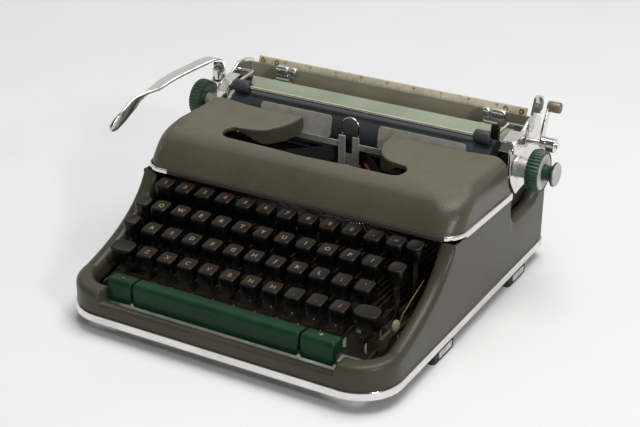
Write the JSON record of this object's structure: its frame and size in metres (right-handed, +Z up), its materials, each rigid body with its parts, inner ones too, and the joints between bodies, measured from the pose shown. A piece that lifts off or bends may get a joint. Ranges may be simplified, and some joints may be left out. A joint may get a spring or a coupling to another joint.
{
  "type": "portable typewriter",
  "caption": "Portable manual typewriter with a rounded painted body, hinged ribbon cover, stepped rows of keys and a sliding carriage with platen, knobs, bail and return lever.",
  "frame": {"origin": "on the table under the middle of the body, at the centre of the bounding box in plan", "axes": "+X to the typist's right along the platen, +Y away from the typist, +Z up"},
  "size_m": [0.35, 0.311, 0.159],
  "materials": {
    "body_paint": "fine wrinkle, satin",
    "chrome": "polished, lightly worn",
    "steel": "plain",
    "dark_steel": "black lacquer",
    "rubber_black": "matt",
    "key_black": "glossy, worn",
    "bar_green": "glossy",
    "knob_green": "glossy",
    "scale_cream": "satin",
    "sage_paint": "satin",
    "card_grey": "clear sheet, dulled",
    "ribbon_cloth": "inked cotton"
  },
  "bodies": {
    "machine": {"body_shell": "body_paint", "base_band": "chrome", "base_frame": "dark_steel", "rubber_feet": "rubber_black", "foot_clips": "chrome", "side_frames": "dark_steel", "cover_hinge_pins": "steel", "lever_fulcrum_rod": "steel", "lever_comb": "dark_steel", "type_segment": "dark_steel", "type_bars": "steel", "type_guide": "chrome", "card_holders": "card_grey", "spool_cups": "dark_steel", "ink_ribbon": "ribbon_cloth", "carriage_rails": "steel"},
    "cover": {"ribbon_cover": "body_paint", "cover_trim": "chrome"},
    "vibrator": {"ribbon_vibrator": "chrome"},
    "spool_left": {"ribbon_spool_left": "dark_steel"},
    "spool_right": {"ribbon_spool_right": "dark_steel"},
    "row_1": {"keytops_row_1": "key_black", "key_levers_row_1": "steel"},
    "row_2": {"keytops_row_2": "key_black", "key_levers_row_2": "steel"},
    "row_3": {"keytops_row_3": "key_black", "key_levers_row_3": "steel"},
    "row_4": {"keytops_row_4": "key_black", "key_levers_row_4": "steel"},
    "print_key": {"print_key": "key_black"},
    "print_bar": {"print_type_bar": "steel"},
    "shift": {"shift_keytops": "key_black", "shift_bail": "steel"},
    "shift_lock": {"shift_lock_key": "key_black"},
    "tabulator": {"tabulator_key": "key_black"},
    "backspace": {"backspace_key": "key_black"},
    "margin_release": {"margin_release_key": "key_black"},
    "tab_clear": {"tab_clear_key": "bar_green"},
    "tab_set": {"tab_set_key": "bar_green"},
    "space": {"space_bar": "bar_green"},
    "truck": {"carriage_truck": "dark_steel"},
    "carriage": {"carriage_frame": "dark_steel", "end_plate_left": "chrome", "end_plate_right": "chrome", "paper_table": "sage_paint", "rear_panel": "body_paint", "margin_scale": "scale_cream", "margin_rail": "steel"},
    "stop_left": {"margin_stop_left": "chrome"},
    "stop_right": {"margin_stop_right": "chrome"},
    "platen": {"platen": "rubber_black", "platen_shaft": "chrome", "platen_knobs": "knob_green"},
    "button": {"platen_release_button": "knob_green"},
    "bail": {"paper_bail": "scale_cream"},
    "bail_rollers": {"bail_rollers": "rubber_black"},
    "return_lever": {"return_lever": "chrome"},
    "paper_release": {"paper_release_lever": "chrome"},
    "carriage_release": {"carriage_release_lever": "chrome"},
    "feed": {"feed_rollers": "rubber_black"}
  },
  "joints": [
    {"name": "cover_open", "type": "hinge", "parent": "machine", "child": "cover", "pos_m": [0, -0.024, 0.096], "axis": [1, 0, 0], "range_deg": [0, 75]},
    {"name": "ribbon_vibrator_lift", "type": "slide", "parent": "machine", "child": "vibrator", "axis": [0, 0, 1], "range_m": [0, 0.006]},
    {"name": "left_spool_turn", "type": "hinge", "parent": "machine", "child": "spool_left", "pos_m": [-0.088, 0.008, 0.09], "axis": [0, 0, 1], "continuous": true},
    {"name": "right_spool_turn", "type": "hinge", "parent": "machine", "child": "spool_right", "pos_m": [0.088, 0.008, 0.09], "axis": [0, 0, 1], "continuous": true},
    {"name": "row_1_press", "type": "hinge", "parent": "machine", "child": "row_1", "pos_m": [0, 0.062, 0.033], "axis": [1, 0, 0], "range_deg": [0, 3], "stiffness_Nm_per_rad": 2, "springref_deg": -8.59},
    {"name": "row_2_press", "type": "hinge", "parent": "machine", "child": "row_2", "pos_m": [0, 0.062, 0.033], "axis": [1, 0, 0], "range_deg": [0, 3.4], "stiffness_Nm_per_rad": 2, "springref_deg": -9.17},
    {"name": "row_3_press", "type": "hinge", "parent": "machine", "child": "row_3", "pos_m": [0, 0.062, 0.033], "axis": [1, 0, 0], "range_deg": [0, 4], "stiffness_Nm_per_rad": 2, "springref_deg": -9.17},
    {"name": "row_4_press", "type": "hinge", "parent": "machine", "child": "row_4", "pos_m": [0, 0.062, 0.033], "axis": [1, 0, 0], "range_deg": [0, 4.7], "stiffness_Nm_per_rad": 2, "springref_deg": -9.17},
    {"name": "type_bar_swing", "type": "hinge", "parent": "machine", "child": "print_bar", "pos_m": [0.00114, 0.03502, 0.045], "axis": [-0.9996, -0.0284, 0], "range_deg": [0, 92], "stiffness_Nm_per_rad": 0.004, "springref_deg": -17.19},
    {"name": "print_key_press", "type": "hinge", "parent": "machine", "child": "print_key", "pos_m": [0, 0.062, 0.033], "axis": [1, 0, 0], "range_deg": [0, 3.1]},
    {"name": "shift_press", "type": "hinge", "parent": "machine", "child": "shift", "pos_m": [0, 0.062, 0.033], "axis": [1, 0, 0], "range_deg": [0, 2.7]},
    {"name": "shift_lock_press", "type": "hinge", "parent": "machine", "child": "shift_lock", "pos_m": [0, 0.062, 0.033], "axis": [1, 0, 0], "range_deg": [0, 2.4], "stiffness_Nm_per_rad": 0.2, "springref_deg": -5.73},
    {"name": "tabulator_press", "type": "hinge", "parent": "machine", "child": "tabulator", "pos_m": [0, 0.062, 0.033], "axis": [1, 0, 0], "range_deg": [0, 4], "stiffness_Nm_per_rad": 0.2, "springref_deg": -5.73},
    {"name": "backspace_press", "type": "hinge", "parent": "machine", "child": "backspace", "pos_m": [0, 0.062, 0.033], "axis": [1, 0, 0], "range_deg": [0, 3.5], "stiffness_Nm_per_rad": 0.2, "springref_deg": -5.73},
    {"name": "margin_release_press", "type": "hinge", "parent": "machine", "child": "margin_release", "pos_m": [0, 0.062, 0.033], "axis": [1, 0, 0], "range_deg": [0, 3.5], "stiffness_Nm_per_rad": 0.2, "springref_deg": -5.73},
    {"name": "tab_clear_press", "type": "hinge", "parent": "machine", "child": "tab_clear", "pos_m": [0, 0.062, 0.033], "axis": [1, 0, 0], "range_deg": [0, 1.3], "stiffness_Nm_per_rad": 0.3, "springref_deg": -5.73},
    {"name": "tab_set_press", "type": "hinge", "parent": "machine", "child": "tab_set", "pos_m": [0, 0.062, 0.033], "axis": [1, 0, 0], "range_deg": [0, 1.3], "stiffness_Nm_per_rad": 0.3, "springref_deg": -5.73},
    {"name": "space_press", "type": "hinge", "parent": "machine", "child": "space", "pos_m": [0, 0.062, 0.033], "axis": [1, 0, 0], "range_deg": [0, 1.8], "stiffness_Nm_per_rad": 1, "springref_deg": -6.88},
    {"name": "carriage_travel", "type": "slide", "parent": "machine", "child": "truck", "axis": [-1, 0, 0], "range_m": [-0.11, 0.11]},
    {"name": "carriage_lift", "type": "slide", "parent": "truck", "child": "carriage", "axis": [0, 0, 1], "range_m": [0, 0.006]},
    {"name": "platen_turn", "type": "hinge", "parent": "carriage", "child": "platen", "pos_m": [0, 0.08, 0.11], "axis": [1, 0, 0], "continuous": true},
    {"name": "platen_release_pull", "type": "slide", "parent": "platen", "child": "button", "axis": [1, 0, 0], "range_m": [0, 0.003], "stiffness_N_per_m": 400, "springref_m": -0.002},
    {"name": "feed_roller_turn", "type": "hinge", "parent": "carriage", "child": "feed", "pos_m": [0, 0.0913, 0.09043], "axis": [1, 0, 0], "continuous": true},
    {"name": "bail_lift", "type": "hinge", "parent": "carriage", "child": "bail", "pos_m": [0, 0.104, 0.134], "axis": [-1, 0, 0], "range_deg": [0, 50]},
    {"name": "bail_roller_turn", "type": "hinge", "parent": "bail", "child": "bail_rollers", "pos_m": [0, 0.07326, 0.13204], "axis": [1, 0, 0], "continuous": true},
    {"name": "return_lever_swing", "type": "hinge", "parent": "carriage", "child": "return_lever", "pos_m": [-0.147, 0.088, 0.135], "axis": [0, 0, 1], "range_deg": [0, 35], "stiffness_Nm_per_rad": 0.3, "springref_deg": -5.73},
    {"name": "paper_release_pull", "type": "hinge", "parent": "carriage", "child": "paper_release", "pos_m": [0.1404, 0.108, 0.135], "axis": [1, 0, 0], "range_deg": [0, 25]},
    {"name": "carriage_release_press", "type": "hinge", "parent": "carriage", "child": "carriage_release", "pos_m": [0.147, 0.117, 0.118], "axis": [1, 0, 0], "range_deg": [0, 20], "stiffness_Nm_per_rad": 0.05, "springref_deg": -5.73},
    {"name": "left_margin_slide", "type": "slide", "parent": "carriage", "child": "stop_left", "axis": [1, 0, 0], "range_m": [-0.01, 0.08]},
    {"name": "right_margin_slide", "type": "slide", "parent": "carriage", "child": "stop_right", "axis": [1, 0, 0], "range_m": [-0.08, 0.01]}
  ],
  "couplings": [
    {"joint": "right_spool_turn", "follows": "left_spool_turn", "ratio": 1},
    {"joint": "print_key_press", "follows": "type_bar_swing", "ratio": 0.032609},
    {"joint": "shift_press", "follows": "carriage_lift", "rad_per_m": 7.5631},
    {"joint": "feed_roller_turn", "follows": "platen_turn", "ratio": -3.46}
  ]
}
